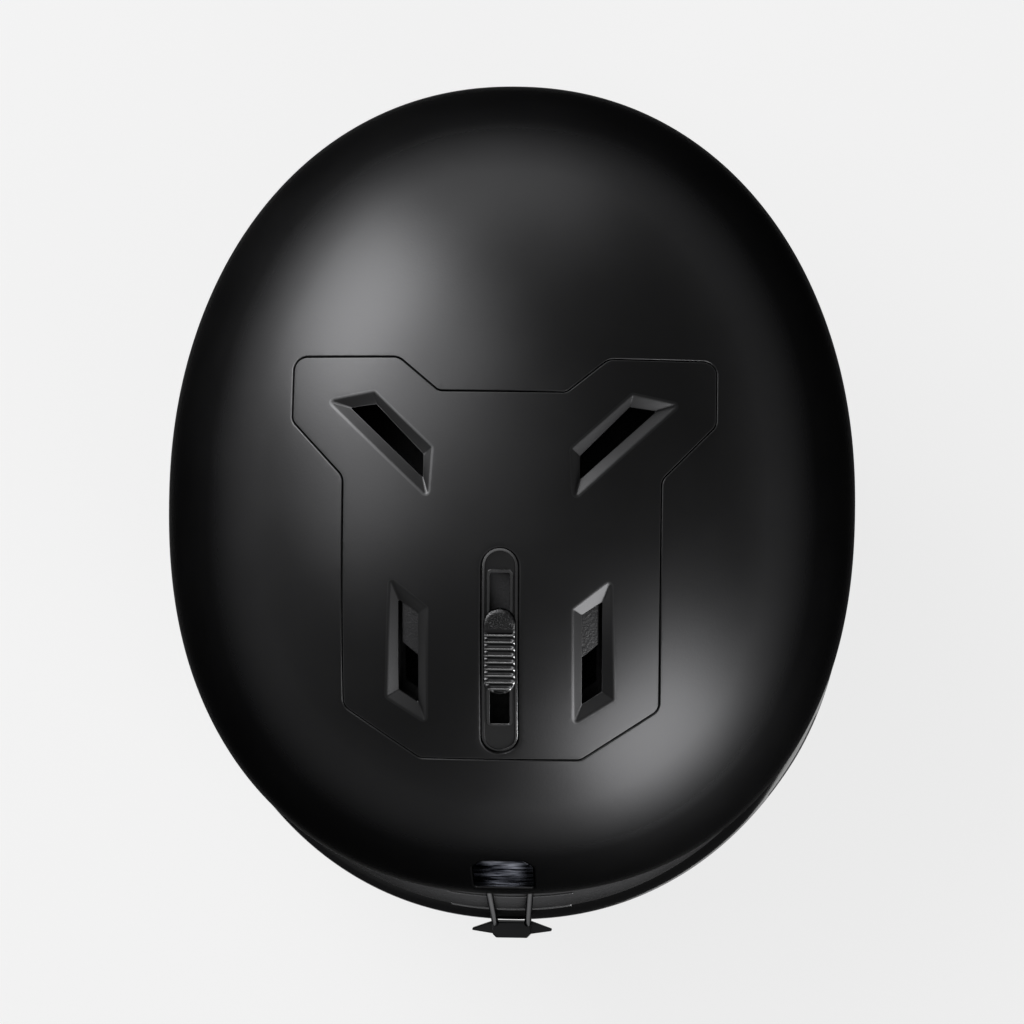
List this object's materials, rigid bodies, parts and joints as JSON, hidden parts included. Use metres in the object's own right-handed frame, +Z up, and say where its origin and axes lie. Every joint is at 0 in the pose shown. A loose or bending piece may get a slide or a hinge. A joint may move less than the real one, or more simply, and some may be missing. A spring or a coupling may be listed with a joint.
{
  "type": "ski helmet",
  "caption": "Hard shell helmet with sliding crown vents, foam liner, ear pads, dial fit, chin strap and rear goggle clip.",
  "frame": {"origin": "bottom centre of the overall box, on the plane that the ear pads stand on", "axes": "+Z up to the crown, front of the helmet toward -Y, nape toward +Y, wearer's left toward +X"},
  "size_m": [0.232, 0.2924, 0.212],
  "materials": {
    "hard_shell": "satin matte black moulded shell",
    "badge_metal": "brushed blue-grey plate",
    "lower_shell": "fine textured dark grey",
    "edge_trim": "gloss black",
    "foam": "beaded black foam",
    "slider_nylon": "fine textured black",
    "shutter_nylon": "fine textured grey",
    "steel": "plain steel",
    "pad_cloth": "brushed knit",
    "fit_nylon": "fine textured black",
    "dial_rubber": "soft grip",
    "webbing": "woven webbing",
    "buckle_nylon": "satin black",
    "fleece": "short fleece",
    "retainer_rubber": "satin black",
    "ear_cloth": "quilted cloth with soft lining"
  },
  "bodies": {
    "helmet": {"outer_shell": "hard_shell", "crown_panel": "hard_shell", "rear_badge": "badge_metal", "lower_shell": "lower_shell", "edge_trim": "edge_trim", "eps_liner": "foam", "slider_track": "slider_nylon", "brow_pad": "pad_cloth", "crown_pad": "pad_cloth", "dial_housing": "fit_nylon", "nape_pad": "pad_cloth", "chin_strap_left": "webbing", "chin_strap_right": "webbing", "buckle_socket": "buckle_nylon", "chin_pad": "fleece", "retainer_base": "buckle_nylon", "side_pad_left": "pad_cloth", "ear_pad_left": "ear_cloth", "ear_bar_left": "fit_nylon", "strap_front_left": "webbing", "strap_rear_left": "webbing", "anchor_front_left": "steel", "anchor_rear_left": "steel", "strap_divider_left": "buckle_nylon", "fit_arm_left": "fit_nylon", "side_pad_right": "pad_cloth", "ear_pad_right": "ear_cloth", "ear_bar_right": "fit_nylon", "strap_front_right": "webbing", "strap_rear_right": "webbing", "anchor_front_right": "steel", "anchor_rear_right": "steel", "strap_divider_right": "buckle_nylon", "fit_arm_right": "fit_nylon"},
    "vent_slider": {"slider_knob": "slider_nylon", "vent_shutter": "shutter_nylon", "shutter_screw": "steel"},
    "fit_dial": {"fit_dial": "dial_rubber", "dial_pinion": "fit_nylon"},
    "rack_left": {"rack_left": "fit_nylon"},
    "rack_right": {"rack_right": "fit_nylon"},
    "buckle_plug": {"buckle_plug": "buckle_nylon"},
    "goggle_retainer": {"retainer_bail": "retainer_rubber", "retainer_hook": "buckle_nylon"}
  },
  "joints": [
    {"name": "vent_slide", "type": "hinge", "parent": "helmet", "child": "vent_slider", "pos_m": [0, -0.00245, 0.07118], "axis": [-1, 0, 0], "range_deg": [-6.5, 6.5]},
    {"name": "fit_dial_turn", "type": "hinge", "parent": "helmet", "child": "fit_dial", "pos_m": [0, 0.08525, 0.024], "axis": [0, 1, 0], "range_deg": [-90, 90]},
    {"name": "rack_left_slide", "type": "slide", "parent": "helmet", "child": "rack_left", "axis": [1, 0, 0], "range_m": [-0.008, 0.008]},
    {"name": "rack_right_slide", "type": "slide", "parent": "helmet", "child": "rack_right", "axis": [-1, 0, 0], "range_m": [-0.008, 0.008]},
    {"name": "buckle_slide", "type": "slide", "parent": "helmet", "child": "buckle_plug", "axis": [-1, 0, 0], "range_m": [0, 0.025]},
    {"name": "retainer_swing", "type": "hinge", "parent": "helmet", "child": "goggle_retainer", "pos_m": [0, 0.12635, 0.074], "axis": [1, 0, 0], "range_deg": [0, 100]}
  ],
  "couplings": [
    {"joint": "rack_left_slide", "follows": "fit_dial_turn", "m_per_rad": 0.005},
    {"joint": "rack_right_slide", "follows": "fit_dial_turn", "m_per_rad": 0.005}
  ]
}
